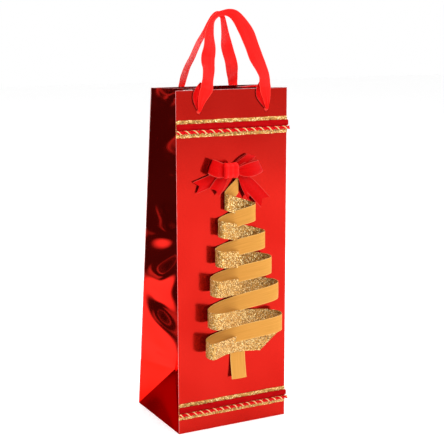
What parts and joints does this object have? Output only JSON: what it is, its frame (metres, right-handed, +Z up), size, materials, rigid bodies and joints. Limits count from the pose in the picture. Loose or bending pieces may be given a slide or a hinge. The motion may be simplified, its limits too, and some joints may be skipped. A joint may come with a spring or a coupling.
{
  "type": "wine gift bag",
  "caption": "Tall red foil-paper gift bag for one bottle, with side gussets, ribbon handles that swing, trim bands, a gold ribbon tree and a bow.",
  "frame": {"origin": "middle of the base, on the surface the bag stands on", "axes": "+X along the width, the decorated front faces -Y, +Z up along the height"},
  "size_m": [0.1268, 0.1288, 0.4298],
  "materials": {
    "foil": "mirror-like red metallic foil laminated on card",
    "liner": "uncoated inner side of the card",
    "greyboard": "plain grey board",
    "gold_glitter": "ribbon with gold glitter on one face and gold satin on the other",
    "gold_satin": "gold satin ribbon",
    "velvet": "dark red velvet ribbon",
    "twisted_cord": "twisted cord of gold and red plies",
    "red_satin": "bright red satin ribbon",
    "glue": "clear set glue"
  },
  "bodies": {
    "bag": {"front_panel": "foil", "back_panel": "foil", "left_gusset_front": "foil", "left_gusset_rear": "foil", "left_foot_base": "foil", "left_foot_front": "foil", "left_foot_rear": "foil", "left_gusset_hem": "liner", "right_gusset_front": "foil", "right_gusset_rear": "foil", "right_foot_base": "foil", "right_foot_front": "foil", "right_foot_rear": "foil", "right_gusset_hem": "liner", "front_hem": "liner", "back_hem": "liner", "front_card": "greyboard", "back_card": "greyboard", "side_seam": "liner", "bottom_back_flap": "foil", "bottom_front_flap": "foil", "bottom_side_flaps": "foil", "base_board": "greyboard", "top_glitter_ribbon": "gold_glitter", "base_glitter_ribbon": "gold_glitter", "top_velvet_ribbon": "velvet", "base_velvet_ribbon": "velvet", "top_twisted_cord": "twisted_cord", "base_twisted_cord": "twisted_cord", "tree_ribbon": "gold_glitter", "trunk_ribbon": "gold_satin", "glue_dots": "glue", "bow_rear_loops": "red_satin", "bow_rear_tails": "red_satin", "bow_front_tails": "red_satin", "bow_front_loops": "red_satin", "bow_knot_wrap": "red_satin", "front_knots": "red_satin", "back_knots": "red_satin"},
    "front_handle": {"front_handle_ribbon": "red_satin"},
    "back_handle": {"back_handle_ribbon": "red_satin"}
  },
  "joints": [
    {"name": "front_handle_swing", "type": "hinge", "parent": "bag", "child": "front_handle", "pos_m": [0, -0.0547, 0.329], "axis": [1, 0, 0], "range_deg": [0, 160]},
    {"name": "back_handle_swing", "type": "hinge", "parent": "bag", "child": "back_handle", "pos_m": [0, 0.01146, 0.329], "axis": [-1, 0, 0], "range_deg": [0, 160]}
  ]
}
